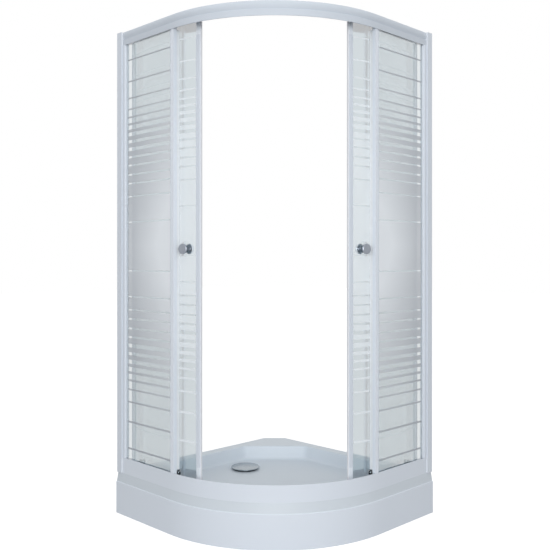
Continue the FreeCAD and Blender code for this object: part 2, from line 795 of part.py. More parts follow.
def make_fixed_side():
    """The left side between the rails: wall channel, side stile, flat pane, end stile and seal."""
    out = "wall_face_inset + wall_skin"
    back = "wall_face_inset + wall_depth - wall_skin"
    channel = [
        ("0", "wall_face_inset"),
        ("wall_grip", "wall_face_inset"),
        ("wall_grip", out),
        ("wall_skin", out),
        ("wall_skin", back),
        ("wall_back_grip", back),
        ("wall_back_grip", "wall_face_inset + wall_depth"),
        ("0", "wall_face_inset + wall_depth"),
    ]
    wall = upright("left_wall_profile", channel, "tray_height", "total_height")
    holes = new_sketch(wall, "YZ_Plane")
    spacing = "(total_height - tray_height - 2*screw_end)/3"
    for number in range(4):
        level = f"tray_height + screw_end + {number}*{spacing}"
        draw_circle(holes, "wall_face_inset + wall_depth/2", level, "screw_radius")
    pocket(wall, holes, "wall_skin + overrun", forward=True)

    nose = "wall_grip + side_nose"
    root = f"{nose} - side_grip"
    side_back = "side_inset + side_depth"
    tongue = "wall_skin + screw_room"
    side = [
        (tongue, out),
        ("wall_grip", out),
        ("wall_grip", "side_inset"),
        (nose, "side_inset"),
        (nose, "slot_out"),
        (root, "slot_out"),
        (root, "slot_in"),
        (nose, "slot_in"),
        (nose, side_back),
        ("wall_back_grip", side_back),
        ("wall_back_grip", back),
        (tongue, back),
    ]
    chamber = rectangle(
        f"{tongue} + side_skin", f"{out} + side_skin", "wall_back_grip - side_skin", f"{back} - side_skin"
    )
    stile = upright("left_side_stile", side, "rail_top", "header_low", chamber)
    round_edges(stile, "side_round", upright_edge_at(nose, "side_inset"))

    pane_end = "end_start + end_grip"
    pane = doc.addObject("Part::Box", "left_fixed_glass")
    bind(pane, "Length", f"{pane_end} - ({root}) - 2*pane_gap")
    bind(pane, "Width", "glass_wall")
    bind(pane, "Height", "header_roof - rail_floor - 2*pane_edge_gap")
    bind(pane, "Placement.Base.x", f"{root} + pane_gap - tray_side/2")
    bind(pane, "Placement.Base.y", "pane_inset - tray_side/2")
    bind(pane, "Placement.Base.z", "rail_floor + pane_edge_gap")

    end_back = "end_inset + end_depth"
    end = [
        ("end_start", "end_inset"),
        ("end_stop", "end_inset"),
        ("end_stop", end_back),
        ("end_start", end_back),
        ("end_start", "slot_in"),
        (pane_end, "slot_in"),
        (pane_end, "slot_out"),
        ("end_start", "slot_out"),
    ]
    post = upright("left_end_stile", end, "rail_lip_top", "header_lip_low")

    middle = "(end_start + end_width/2)"
    lip = [
        (f"{middle} - seal_base/2", end_back),
        (f"{middle} + seal_base/2", end_back),
        (f"{middle} + seal_base/2", f"{end_back} + seal_foot"),
        (f"{middle} + seal_fin/2", f"{end_back} + seal_foot"),
        (f"{middle} + seal_fin/2", f"{end_back} + seal_reach"),
        (f"{middle} - seal_fin/2", f"{end_back} + seal_reach"),
        (f"{middle} - seal_fin/2", f"{end_back} + seal_foot"),
        (f"{middle} - seal_base/2", f"{end_back} + seal_foot"),
    ]
    seal = upright("left_end_seal", lip, "rail_top + seal_rise", "header_low")
    pieces = [(wall, "wall_profile"), (stile, "side_stile"), (pane, "fixed_glass")]
    pieces += [(post, "end_stile"), (seal, "end_seal")]
    keep_pair(pieces)


def keep_pair(pieces):
    """Keep left-hand pieces under their names and mirror each for the right."""
    for piece, name in pieces:
        keep(piece, f"left_{name}")
        keep_mirrored(piece, f"right_{name}")


def run_body(name):
    """A body whose own origin stands on the left door's pole."""
    return new_body(name, "pole_x", "pole_y")


def swept(name, bearing, section, angle):
    """A piece along the door's circle from a bearing, its section given from the pole and by height."""
    body = run_body(name)
    turn(body, draw(radial_sketch(body, bearing), section), "V_Axis", angle)
    return body


def spun(name, bearing, height, profile):
    """A turned piece on an axis that points straight out from the pole at a bearing and height."""
    body = run_body(name)
    turn(body, draw(radial_sketch(body, bearing, height), profile), "H_Axis", FULL_TURN)
    return body


def make_tracks():
    """The ledge that the doors hang on, the fin that guides their feet, and the stops."""
    ledge_in = "wheel_in - track_side"
    web = "wheel_out + run_gap"
    ledge = [
        (ledge_in, "track_top - track_wall"),
        (f"{web} + track_web", "track_top - track_wall"),
        (f"{web} + track_web", "header_roof"),
        (web, "header_roof"),
        (web, "track_top"),
        (ledge_in, "track_top"),
    ]
    track = swept("left_upper_track", "track_start", ledge, "track_end - track_start")
    middle = "(wheel_in + wheel_width/2)"
    foot_top = "rail_floor + track_wall"
    fin = [
        ("wheel_out - guide_foot", "rail_floor"),
        ("wheel_out", "rail_floor"),
        ("wheel_out", foot_top),
        (f"{middle} + guide_fin/2", foot_top),
        (f"{middle} + guide_fin/2", "guide_top"),
        (f"{middle} - guide_fin/2", "guide_top"),
        (f"{middle} - guide_fin/2", foot_top),
        ("wheel_out - guide_foot", foot_top),
    ]
    guide = swept("left_lower_guide", "track_start", fin, "track_end - track_start")
    keep_pair([(track, "upper_track"), (guide, "lower_guide")])
    block = rectangle(ledge_in, "track_top", web, "track_top + stop_height")
    clear = "upper_wheel_radius + stop_gap"
    stops = []
    for bearing in (
        f"trail_wheel - {along(f'{clear} + stop_length')}",
        f"lead_wheel + travel + {along(clear)}",
    ):
        stop = swept("track_stop", bearing, block, along("stop_length"))
        stops += [stop, twin_of(stop)]
    keep_group(stops, "track_stops")


def stile_length(name, start, low, high, slot_first):
    """A length of door stile with the slot that grips the glass on its first or its last side."""
    out = "run_radius + door_stile_depth/2"
    back = "run_radius - door_stile_depth/2"
    body = swept(name, start, rectangle(back, low, out, high), along("door_stile_width"))
    slot_start = f"{start} - {along('overrun')}"
    closed = f"{start} + {along('door_stile_width')}"
    if not slot_first:
        slot_start = f"{start} + {along('door_stile_width - door_grip')}"
        closed = start
    slot = rectangle("glass_in - pane_gap", f"{low} - overrun", "glass_out + pane_gap", f"{high} + overrun")
    sketch = draw(radial_sketch(body, slot_start), slot)
    turn(body, sketch, "V_Axis", along("door_grip + overrun"), cut=True)
    for radius in (out, back):
        corner = upright_edge_at(f"({radius})*sin({closed})", f"-({radius})*cos({closed})")
        round_edges(body, "door_stile_round", corner)
    return body


def make_door():
    """The left door: curved glass between two stiles, with end caps and a magnetic strip."""
    inner_edge = "door_stile_width - door_grip"
    glass_start = f"trail_open + {along(inner_edge)}"
    glass_span = f"lead_open - trail_open - {along(f'2*({inner_edge}) + magnet_width')}"
    low = "tray_height + door_glass_rise"
    high = "total_height - door_glass_drop"
    glass = swept("left_door_glass", glass_start, rectangle("glass_in", low, "glass_out", high), glass_span)
    drillings = [(bearing, height) for bearing in ("trail_wheel", "lead_wheel") for height in AXLE_LEVELS]
    for bearing, height in drillings + [("knob_bearing", "knob_height")]:
        hole = rectangle("glass_in - overrun", "0", "glass_out + overrun", "axle_shank_radius + hole_gap")
        sketch = draw(radial_sketch(glass, bearing, height), hole)
        turn(glass, sketch, "H_Axis", FULL_TURN, cut=True)

    lead_start = f"lead_open - {along('magnet_width + door_stile_width')}"
    foot_top = "stile_low + foot_cap"
    head_low = "stile_high - head_cap"
    stiles = []
    caps = []
    for name, start, slot_first in (("lead", lead_start, True), ("trail", "trail_open", False)):
        stile = stile_length(f"left_{name}_stile", start, foot_top, head_low, slot_first)
        stiles.append((stile, f"{name}_stile"))
        caps.append(stile_length(f"left_{name}_foot_cap", start, "stile_low", foot_top, slot_first))
        caps.append(stile_length(f"left_{name}_head_cap", start, head_low, "stile_high", slot_first))
    section = rectangle(
        "run_radius - magnet_depth/2", "stile_low", "run_radius + magnet_depth/2", "stile_high"
    )
    strip_span = along("magnet_width")
    strip = swept("left_magnetic_strip", f"lead_open - {strip_span}", section, strip_span)
    keep_pair([(glass, "door_glass"), *stiles, (strip, "magnetic_strip")])
    keep_group(caps, "left_stile_caps")
    keep_mirrored(nodes["left_stile_caps"], "right_stile_caps")


def make_rollers():
    """The wheels and the stepped axles that carry them, bolted through the door's glass."""
    half = "(glass_wall/2 + seat_gap)"
    collar_end = "wheel_offset - run_gap"
    hub_end = "wheel_offset + wheel_width - wheel_dish"
    head_start = f"{hub_end} + run_gap"
    steps = [
        (f"-{half} - axle_cap", "0"),
        (f"-{half} - axle_cap", "axle_cap_radius"),
        (f"-{half}", "axle_cap_radius"),
        (f"-{half}", "axle_shank_radius"),
        (half, "axle_shank_radius"),
        (half, "axle_collar_radius"),
        (collar_end, "axle_collar_radius"),
        (collar_end, "axle_radius"),
        (head_start, "axle_radius"),
        (head_start, "axle_head_radius"),
        (f"{head_start} + axle_head", "axle_head_radius"),
        (f"{head_start} + axle_head", "0"),
    ]
    axle = [(f"run_radius + {reach}", radius) for reach, radius in steps]
    for level, height in zip(("upper", "lower"), AXLE_LEVELS):
        wheel = [
            ("wheel_in", "axle_radius + axle_gap"),
            ("wheel_in", f"{level}_wheel_radius"),
            ("wheel_out", f"{level}_wheel_radius"),
            ("wheel_out", "wheel_hub_radius"),
            ("wheel_out - wheel_dish", "wheel_hub_radius"),
            ("wheel_out - wheel_dish", "axle_radius + axle_gap"),
        ]
        axles = []
        for end in ("trail", "lead"):
            bearing = f"{end}_wheel"
            axles.append(spun(f"left_{level}_{end}_axle", bearing, height, axle))
            name = f"{level}_{end}_wheel"
            keep_pair([(spun(f"left_{name}", bearing, height, wheel), name)])
        keep_group(axles, f"left_{level}_axles")
        keep_mirrored(nodes[f"left_{level}_axles"], f"right_{level}_axles")


def make_knobs():
    """The double knob: a turned disc on each face of the glass, drawn together by one bolt."""
    face = "glass_wall/2 + seat_gap"
    seat = f"{face} + washer_wall"
    back = "knob_reach - knob_wall"
    bore = "knob_bolt_radius + hole_gap"
    disc = [
        (seat, bore),
        (seat, "knob_neck_radius"),
        (back, "knob_neck_radius"),
        (back, "knob_radius - knob_edge"),
        (f"{back} + knob_edge", "knob_radius"),
        ("knob_reach - knob_edge", "knob_radius"),
        ("knob_reach", "knob_radius - knob_edge"),
        ("knob_reach", "0"),
        (back, "0"),
        (back, bore),
    ]
    collar = [
        ("run_gap", bore),
        (seat, bore),
        (seat, "washer_radius"),
        (face, "washer_radius"),
        (face, "axle_shank_radius"),
        ("run_gap", "axle_shank_radius"),
    ]
    spot = ("knob_bearing", "knob_height")
    washers = []
    for place, sign in (("outer", "+"), ("inner", "-")):
        knob = [(f"run_radius {sign} ({reach})", radius) for reach, radius in disc]
        keep_pair([(spun(f"left_{place}_knob", *spot, knob), f"{place}_knob")])
        washer = [(f"run_radius {sign} ({reach})", radius) for reach, radius in collar]
        washers.append(spun(f"left_{place}_washer", *spot, washer))
    shank = rectangle(f"run_radius - ({back})", "0", f"run_radius + {back}", "knob_bolt_radius")
    keep_pair([(spun("left_knob_bolt", *spot, shank), "knob_bolt")])
    keep_group(washers, "left_knob_washers")
    keep_mirrored(nodes["left_knob_washers"], "right_knob_washers")


make_tray_shell()
make_apron()
make_frame()
make_drain()
make_rails()
make_fixed_side()
make_tracks()
make_door()
make_rollers()
make_knobs()
doc.recompute()

failed = [thing.Name for thing in doc.Objects if {"Invalid", "Error"} & set(thing.State)]
if failed:
    raise RuntimeError("These objects failed: " + ", ".join(failed))
for name, thing in nodes.items():
    if thing.Shape.isNull() or not thing.Shape.isValid():
        raise RuntimeError("This piece has no valid shape: " + name)
os.makedirs("parts", exist_ok=True)
for name, thing in nodes.items():
    thing.Shape.exportStep(f"parts/{name}.step")
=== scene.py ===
import json
import math

import bpy
from mathutils import Matrix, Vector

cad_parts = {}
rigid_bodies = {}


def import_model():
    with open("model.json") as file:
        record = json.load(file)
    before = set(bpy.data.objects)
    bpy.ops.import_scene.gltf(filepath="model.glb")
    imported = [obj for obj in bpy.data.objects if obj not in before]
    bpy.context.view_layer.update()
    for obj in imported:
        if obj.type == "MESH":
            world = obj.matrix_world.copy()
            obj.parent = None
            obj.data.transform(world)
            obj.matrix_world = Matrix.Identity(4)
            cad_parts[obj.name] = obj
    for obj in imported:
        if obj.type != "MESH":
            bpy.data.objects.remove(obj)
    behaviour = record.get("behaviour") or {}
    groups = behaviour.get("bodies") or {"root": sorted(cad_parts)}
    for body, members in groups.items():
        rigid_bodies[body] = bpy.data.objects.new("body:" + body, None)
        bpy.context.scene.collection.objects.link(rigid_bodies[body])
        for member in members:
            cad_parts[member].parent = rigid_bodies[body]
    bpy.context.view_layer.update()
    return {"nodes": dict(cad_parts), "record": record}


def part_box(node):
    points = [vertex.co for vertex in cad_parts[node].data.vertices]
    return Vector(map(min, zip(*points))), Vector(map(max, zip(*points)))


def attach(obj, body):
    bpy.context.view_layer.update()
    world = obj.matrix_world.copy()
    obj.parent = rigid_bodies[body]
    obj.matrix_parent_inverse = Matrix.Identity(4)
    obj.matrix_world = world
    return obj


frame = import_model()

# Tray shell: one sheet of white acrylic, heated and drawn over a mould, then backed with resin.
# The showing face has a soft gloss that drifts a little, as drawn sheet does.
# Over the front rim its white is painted darker, as painted shade.


def blank(name):
    """A new material, with its node tree and its shader."""
    material = bpy.data.materials.new(name)
    material.use_nodes = True
    return material, material.node_tree, material.node_tree.nodes["Principled BSDF"]


def feed(tree, node, inputs):
    """Give each input of a node its number, or the output of another node."""
    for socket, value in inputs.items():
        if isinstance(value, bpy.types.NodeSocket):
            tree.links.new(value, node.inputs[socket])
        else:
            node.inputs[socket].default_value = value


def add(tree, kind, inputs, **settings):
    """A new node with its settings and inputs; its outputs come back."""
    node = tree.nodes.new("ShaderNode" + kind)
    for setting, value in settings.items():
        setattr(node, setting, value)
    feed(tree, node, inputs)
    return node.outputs


def maths(tree, operation, *numbers):
    """One sum on numbers or outputs."""
    return add(tree, "Math", dict(enumerate(numbers)), operation=operation)["Value"]


def spread(tree, amount, low, high, start=0, stop=1):
    """A number that goes from low to high while an amount goes from start to stop."""
    inputs = {"Value": amount, "From Min": start, "From Max": stop, "To Min": low, "To Max": high}
    return add(tree, "MapRange", inputs)["Result"]


def toned(tree, amount, low, high, start=0, stop=1):
    """A colour that goes from low to high while an amount goes from start to stop."""
    ramp = tree.nodes.new("ShaderNodeValToRGB")
    for end, position, colour in zip(ramp.color_ramp.elements, (start, stop), (low, high)):
        end.position = position
        end.color = (*colour, 1)
    feed(tree, ramp, {"Fac": amount})
    return ramp.outputs["Color"]


def moulded(name, colour, shade, drift, rough, grain, grain_depth, specular=0.5):
    """A solid finish: colour and gloss drift slowly over the piece, with a fine grain in the surface."""
    material, tree, shader = blank(name)
    place = add(tree, "TexCoord", {})["Object"]
    slow = add(tree, "TexNoise", {"Vector": place, "Scale": drift, "Detail": 3})["Fac"]
    fine = add(tree, "TexNoise", {"Vector": place, "Scale": grain, "Detail": 2})["Fac"]
    relief = add(tree, "Bump", {"Height": fine, "Strength": 0.25, "Distance": grain_depth})
    finish = {
        "Base Color": toned(tree, slow, shade, colour, start=0.3, stop=0.7),
        "Roughness": spread(tree, slow, *rough),
        "Normal": relief["Normal"],
        "Specular IOR Level": specular,
    }
    feed(tree, shader, finish)
    return material


def rim_painted_shade(material, bend_radius, rim, fade, share):
    """Painted shade along the rim of the bent front: the white is darkened there by a share."""
    tree = material.node_tree
    shader = tree.nodes["Principled BSDF"]
    white = shader.inputs["Base Color"].links[0].from_socket
    apron_low, apron_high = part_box("front_apron")
    place = add(tree, "TexCoord", {})["Object"]
    parts = add(tree, "SeparateXYZ", {"Vector": place})
    past_centre = {}
    for axis, centre, way in (("X", apron_high[0] - bend_radius, 1), ("Y", apron_low[1] + bend_radius, -1)):
        inputs = {0: parts[axis], 1: way, 2: -way * centre}
        past_centre[axis] = add(tree, "Math", inputs, operation="MULTIPLY_ADD", use_clamp=True)["Value"]
    outward = add(tree, "CombineXYZ", past_centre)["Vector"]
    distance = add(tree, "VectorMath", {0: outward}, operation="LENGTH")["Value"]
    rim_start = bend_radius - rim
    cover = spread(tree, distance, 1, share, start=rim_start, stop=rim_start + fade)
    thinned = add(tree, "VectorMath", {0: white, "Scale": cover}, operation="SCALE")["Vector"]
    feed(tree, shader, {"Base Color": thinned})


def dress(material, *names):
    """Give nodes of the frame their finish."""
    for name in names:
        piece = frame["nodes"][name]
        piece.data.materials.clear()
        piece.data.materials.append(material)


sheet_gloss = {"rough": (0.35, 0.45), "grain": 900, "grain_depth": 0.00002, "specular": 0.3}
tray_acrylic = moulded("tray_acrylic", (0.68, 0.742, 0.805), (0.665, 0.727, 0.79), drift=3, **sheet_gloss)
rim_painted_shade(tray_acrylic, bend_radius=0.55, rim=0.014, fade=0.004, share=0.85)
dress(tray_acrylic, "tray_shell")

# Apron: the same kind of acrylic sheet, folded over at its top and hung on hooks behind the shoulder.
# It has its own copy of the tray's white, a touch off it, set for the light on the upright front: painted
# light.
apron_acrylic = moulded(
    "apron_acrylic", (0.677, 0.73, 0.803), (0.662, 0.715, 0.788), drift=2.5, **sheet_gloss
)
dress(apron_acrylic, "front_apron")

# Carrying frame, feet and hooks: welded square tube, threaded rods and nuts, all zinc plated.
# Zinc shows as a pale metal with a fine spangle; the foot pads are dark moulded plastic.


def plated(name, colour, shade, spangle, rough):
    """A metal whose colour and gloss change from grain to grain of the plating."""
    material, tree, shader = blank(name)
    place = add(tree, "TexCoord", {})["Object"]
    grains = add(tree, "TexVoronoi", {"Vector": place, "Scale": spangle})["Position"]
    cloud = add(tree, "TexNoise", {"Vector": grains, "Scale": spangle * 0.4, "Detail": 4})["Fac"]
    finish = {
        "Base Color": toned(tree, cloud, shade, colour, start=0.3, stop=0.7),
        "Roughness": spread(tree, cloud, *rough),
        "Metallic": 1,
    }
    feed(tree, shader, finish)
    return material


zinc = plated("zinc_plate", (0.66, 0.68, 0.7), (0.52, 0.54, 0.57), spangle=260, rough=(0.28, 0.5))
dress(zinc, "tube_frame", "foot_studs", "foot_nuts", "apron_clips")
foot_plastic = moulded(
    "foot_plastic",
    (0.05, 0.05, 0.055),
    (0.035, 0.035, 0.04),
    drift=30,
    rough=(0.45, 0.6),
    grain=1500,
    grain_depth=0.00008,
)
dress(foot_plastic, "foot_pads")

# Waste: a chromed flange and domed cover over the hole, a rubber ring and a moulded trap below.
# Chrome has the faint swirl that polishing leaves; the flange, under the cover, is painted far darker, as
# painted shade.
cover_chrome = plated("drain_chrome", (0.36, 0.4, 0.43), (0.32, 0.36, 0.39), spangle=40, rough=(0.2, 0.3))
dress(cover_chrome, "drain_cover")
# The flange's dark chrome is painted shade under the cover's edge.
flange_shade_chrome = plated(
    "flange_painted_shade_chrome", (0.1, 0.11, 0.12), (0.08, 0.09, 0.1), spangle=60, rough=(0.25, 0.35)
)
dress(flange_shade_chrome, "drain_flange")
black_rubber = moulded(
    "black_rubber",
    (0.03, 0.03, 0.03),
    (0.02, 0.02, 0.02),
    drift=40,
    rough=(0.6, 0.75),
    grain=2500,
    grain_depth=0.0001,
)
dress(black_rubber, "drain_gasket")
trap_plastic = moulded(
    "trap_plastic",
    (0.76, 0.77, 0.78),
    (0.7, 0.71, 0.72),
    drift=20,
    rough=(0.35, 0.5),
    grain=1200,
    grain_depth=0.00005,
)
dress(trap_plastic, "drain_trap")

# Bottom rail and header: aluminium sections, roll bent to the tray's front and powder coated white.
# Powder coat flows out to a faint orange peel; moulded blocks close the rails against the walls.


def powder_coat(name, colour, rough=(0.38, 0.48), specular=0.5):
    """A baked powder coat: one colour that hardly drifts, with a faint orange peel."""
    tone_drop = 0.015
    shade = [channel - tone_drop for channel in colour]
    peel = {"grain": 420, "grain_depth": 0.00006}
    return moulded(name, colour, shade, drift=4, rough=rough, specular=specular, **peel)


# Each piece in this one white coat has a tone of its own, lighter or darker for the light that falls on it:
# painted light and shade.
rail_coat = powder_coat("rail_powder_coat", (0.66, 0.712, 0.784))
dress(rail_coat, "bottom_rail")
# The header's tone is the darker one, as painted shade.
header_coat = powder_coat("header_powder_coat", (0.57, 0.62, 0.685), rough=(0.45, 0.55), specular=0.2)
dress(header_coat, "header_rail")
block_plastic = moulded(
    "block_plastic",
    (0.74, 0.77, 0.81),
    (0.7, 0.73, 0.77),
    drift=25,
    rough=(0.4, 0.5),
    grain=1400,
    grain_depth=0.00006,
)
dress(block_plastic, "bottom_end_blocks", "header_end_blocks")

# Wall channels and side stiles: straight aluminium sections with the same white powder coat as the rails,
# in a touch darker tone of painted shade.
# The channels are screwed to the wall, and the stiles are pushed into them to take up a crooked wall.
frame_coat = powder_coat("frame_powder_coat", (0.645, 0.695, 0.765))
dress(frame_coat, "left_wall_profile", "right_wall_profile", "left_side_stile", "right_side_stile")

# Fixed panes: flat toughened glass with frosted bands printed across the outer face.
# The bands stand close and tall round the middle, and get thin and far apart towards the ends.


def clear_glass(name, colour, shade, veil):
    """Sheet glass with a grey-green cast: it mirrors a share of the room over what lies behind it."""
    shadow_share = 0.2
    material, tree, shader = blank(name)
    place = add(tree, "TexCoord", {})["Object"]
    cloud = add(tree, "TexNoise", {"Vector": place, "Scale": 2})["Fac"]
    shadow_ray = add(tree, "LightPath", {})["Is Shadow Ray"]
    cover = spread(tree, shadow_ray, veil, veil * shadow_share)
    going_in = maths(tree, "SUBTRACT", 1, add(tree, "NewGeometry", {})["Backfacing"])
    finish = {
        "Base Color": toned(tree, cloud, shade, colour),
        "Roughness": 0.12,
        "Metallic": 1,
        "Alpha": maths(tree, "MULTIPLY", cover, going_in),
    }
    feed(tree, shader, finish)
    return material


def frosted(name, dull, bright, cover, middle, reach):
    """A thin printed white frost with painted light and shade in its colour: brightest at the middle height
    and on the side away from the wall.
    """
    wall_run, door_run = 0.03, 0.3
    wall_light, door_light = 0.34, 1.25
    speckle = 0.03
    shadow_share = 0.2
    material, tree, shader = blank(name)
    place = add(tree, "TexCoord", {})["Object"]
    parts = add(tree, "SeparateXYZ", {"Vector": place})
    run = maths(tree, "SUBTRACT", parts["X"], parts["Y"])
    side_light = spread(tree, run, wall_light, door_light, start=wall_run, stop=door_run)
    apart = maths(tree, "ABSOLUTE", maths(tree, "SUBTRACT", parts["Z"], middle))
    nearness = spread(tree, apart, 1, 0, stop=reach)
    light = maths(tree, "MULTIPLY", side_light, nearness)
    specks = add(tree, "TexNoise", {"Vector": place, "Scale": 1600})["Fac"]
    opacity = spread(tree, specks, cover - speckle, cover + speckle)
    shadow_ray = add(tree, "LightPath", {})["Is Shadow Ray"]
    finish = {
        "Base Color": toned(tree, light, dull, bright),
        "Roughness": 0.55,
        "Alpha": maths(tree, "MULTIPLY", opacity, spread(tree, shadow_ray, 1, shadow_share)),
    }
    feed(tree, shader, finish)
    return material


def band_levels(middle, scale, rise_draw, fall_draw):
    """The lower and upper level of each frosted band, from the tall middle one outwards both ways.

    The print's own heights and gaps are in millimetres; a draw stretches or shrinks its far end.
    """
    heights = (180, 93, 44.5, 27.5, 29, 25, 20.5, 17.5, 16.5, 12, 9, 7.3, 6.4, 6.2, 6.7, 6.3)
    gaps = (4.6, 4.7, 5.8, 6.8, 6.7, 7.8, 13.7, 11.4, 14.4, 16.3, 20, 26, 38.6, 64, 86)
    reach = heights[0] / 2 + sum(heights[1:]) + sum(gaps)

    def level(way, distance):
        draw = rise_draw if way > 0 else fall_draw
        return middle + way * distance * scale / 1000 * (1 + draw * (distance / reach) ** 2)

    far = heights[0] / 2
    levels = [(level(-1, far), level(1, far))]
    for height, gap in zip(heights[1:], gaps):
        near = far + gap
        far = near + height
        levels += [(level(1, near), level(1, far)), (level(-1, far), level(-1, near))]
    return levels


def flat_bands(name, levels, place, width, turn):
    """Flat bands standing one above the other at a place, left in edit mode with the last one selected."""
    for number, (low, high) in enumerate(levels):
        centre = (*place, (low + high) / 2)
        bpy.ops.mesh.primitive_plane_add(size=1, location=centre, rotation=(math.radians(90), 0, turn))
        if number == 0:
            bands = bpy.context.active_object
            bands.name = name
            bpy.ops.object.transform_apply(location=True, rotation=True)
            bpy.ops.object.mode_set(mode="EDIT")
            bpy.ops.mesh.select_all(action="SELECT")
        bpy.ops.transform.resize(value=(width, width, high - low), center_override=centre)
    return bands


def mirrored(piece, name):
    """A copy of a left-hand piece on the right, across the enclosure's diagonal."""
    twin = bpy.data.objects.new(name, piece.data.copy())
    bpy.context.collection.objects.link(twin)
    twin.data.transform(Matrix(((0, -1, 0, 0), (-1, 0, 0, 0), (0, 0, 1, 0), (0, 0, 0, 1))))
    twin.data.flip_normals()
    return twin


pane_glass = clear_glass("pane_glass", (0.625, 0.685, 0.715), (0.615, 0.675, 0.705), veil=0.59)
dress(pane_glass, "left_fixed_glass", "right_fixed_glass")
pane_low, pane_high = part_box("left_fixed_glass")
stile_low, stile_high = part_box("left_side_stile")
side_edge = stile_high[0]
end_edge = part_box("left_end_stile")[0][0]
side_margin = 0.011
end_margin = 0.007
print_lift = 0.00015
band_start = side_edge + side_margin
band_stop = end_edge - end_margin
left_pane_bands = flat_bands(
    "left_pane_bands",
    band_levels(middle=1.068, scale=1.045, rise_draw=-0.045, fall_draw=0.035),
    place=((band_start + band_stop) / 2, pane_low[1] - print_lift),
    width=band_stop - band_start,
    turn=0,
)
bpy.ops.object.mode_set(mode="OBJECT")
pane_frost = frosted(
    "pane_frost", (0.4, 0.43, 0.475), (0.92, 0.955, 1.0), cover=0.76, middle=1.07, reach=0.75
)
left_pane_bands.data.materials.append(pane_frost)
right_pane_bands = mirrored(left_pane_bands, "right_pane_bands")
for bands in (left_pane_bands, right_pane_bands):
    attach(bands, "frame")

# Pane beads: soft vinyl strips pushed in beside the glass, which hold it in the stiles without rattling.
# One runs up each face of a pane along each stile, with its free corner rounded.


def bead(place, reach, rise, low, high):
    """One upright strip with its rounded corner away from the stile and the glass, left in edit mode."""
    size = (abs(reach), abs(rise), high - low)
    centre = (place[0] + reach / 2, place[1] + rise / 2, (low + high) / 2)
    bpy.ops.mesh.primitive_cube_add(size=1, location=centre)
    if bpy.context.mode == "OBJECT":
        bpy.ops.object.transform_apply(location=True)
        bpy.ops.object.mode_set(mode="EDIT")
    bpy.ops.transform.resize(value=size, center_override=centre)
    bpy.ops.object.mode_set(mode="OBJECT")
    near = 0.00001
    for corner in bpy.context.active_object.data.vertices:
        at_tip = abs(corner.co.x - place[0] - reach) < near and abs(corner.co.y - place[1] - rise) < near
        corner.select = corner.select and at_tip
    bpy.ops.object.mode_set(mode="EDIT")
    bpy.ops.mesh.select_mode(type="VERT")
    round_share = 0.9
    bpy.ops.mesh.bevel(offset=abs(rise) * round_share, segments=4, affect="EDGES")


def finished_beads(name):
    """Close the strips in edit mode into one smooth piece with its name and its vinyl."""
    bpy.ops.mesh.select_all(action="SELECT")
    bpy.ops.mesh.normals_make_consistent(inside=False)
    bpy.ops.object.mode_set(mode="OBJECT")
    bpy.ops.object.shade_smooth_by_angle(angle=math.radians(40))
    beads = bpy.context.active_object
    beads.name = name
    beads.data.materials.append(glazing_vinyl)
    return beads


glazing_vinyl = moulded(
    "glazing_vinyl",
    (0.66, 0.71, 0.77),
    (0.64, 0.69, 0.75),
    drift=40,
    rough=(0.4, 0.5),
    grain=1500,
    grain_depth=0.00004,
)
bead_reach = 0.0065
bead_rise = 0.0028
for edge, way in ((side_edge, 1), (end_edge, -1)):
    for face, outward in ((pane_low[1], -1), (pane_high[1], 1)):
        bead((edge, face), way * bead_reach, outward * bead_rise, stile_low[2], stile_high[2])
left_pane_beads = finished_beads("left_pane_beads")
right_pane_beads = mirrored(left_pane_beads, "right_pane_beads")
for beads in (left_pane_beads, right_pane_beads):
    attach(beads, "frame")

# End stiles and their seals: a slim coated post grips each fixed pane's free edge.
# A soft extruded lip on its back closes the gap to the door.
# The end stiles' coat is the same white in a lighter tone, as painted light.
stile_coat = powder_coat("stile_powder_coat", (0.73, 0.78, 0.85))
dress(stile_coat, "left_end_stile", "right_end_stile")
soft_vinyl = moulded(
    "soft_vinyl",
    (0.8, 0.83, 0.86),
    (0.77, 0.8, 0.83),
    drift=40,
    rough=(0.3, 0.4),
    grain=1500,
    grain_depth=0.00004,
)
dress(soft_vinyl, "left_end_seal", "right_end_seal")

# Tracks and guides: extruded aluminium ledges, bent to each door's run and fixed inside the rails.
# They are left bright, because a coat would wear off under the wheels; rubber stops end the tracks.
track_metal = plated(
    "track_aluminium", (0.78, 0.79, 0.81), (0.7, 0.71, 0.73), spangle=180, rough=(0.25, 0.4)
)
dress(track_metal, "left_upper_track", "right_upper_track", "left_lower_guide", "right_lower_guide")
dress(black_rubber, "track_stops")

# Sliding doors: bent toughened glass, gripped at each side by a powder coated stile.
# Moulded caps close the stiles' ends, and a magnetic strip runs down each leading edge.
door_glass = clear_glass("door_glass", (0.36, 0.46, 0.51), (0.35, 0.45, 0.5), veil=0.54)
dress(door_glass, "left_door_glass", "right_door_glass")
# The door stiles wear the same white in tones of painted shade: the leading stile a touch darker, and the
# trailing one, which stands in shade behind the fixed pane, much darker.
lead_coat = powder_coat("door_powder_coat", (0.6, 0.65, 0.72))
dress(lead_coat, "left_lead_stile", "right_lead_stile")
trail_shade_coat = powder_coat("trail_shaded_powder_coat", (0.45, 0.48, 0.56))
dress(trail_shade_coat, "left_trail_stile", "right_trail_stile")
cap_plastic = moulded(
    "cap_plastic",
    (0.7, 0.75, 0.81),
    (0.68, 0.73, 0.79),
    drift=25,
    rough=(0.4, 0.5),
    grain=1400,
    grain_depth=0.00005,
)
dress(cap_plastic, "left_stile_caps", "right_stile_caps")
strip_vinyl = moulded(
    "strip_vinyl",
    (0.78, 0.8, 0.84),
    (0.74, 0.76, 0.8),
    drift=30,
    rough=(0.35, 0.45),
    grain=1400,
    grain_depth=0.00004,
)
dress(strip_vinyl, "left_magnetic_strip", "right_magnetic_strip")

# Door print: frosted bands like the panes', printed on the outer face of the door glass before it is bent.
# They lie on the glass's curve about the door's pole, and stop short of the hole for the knob.


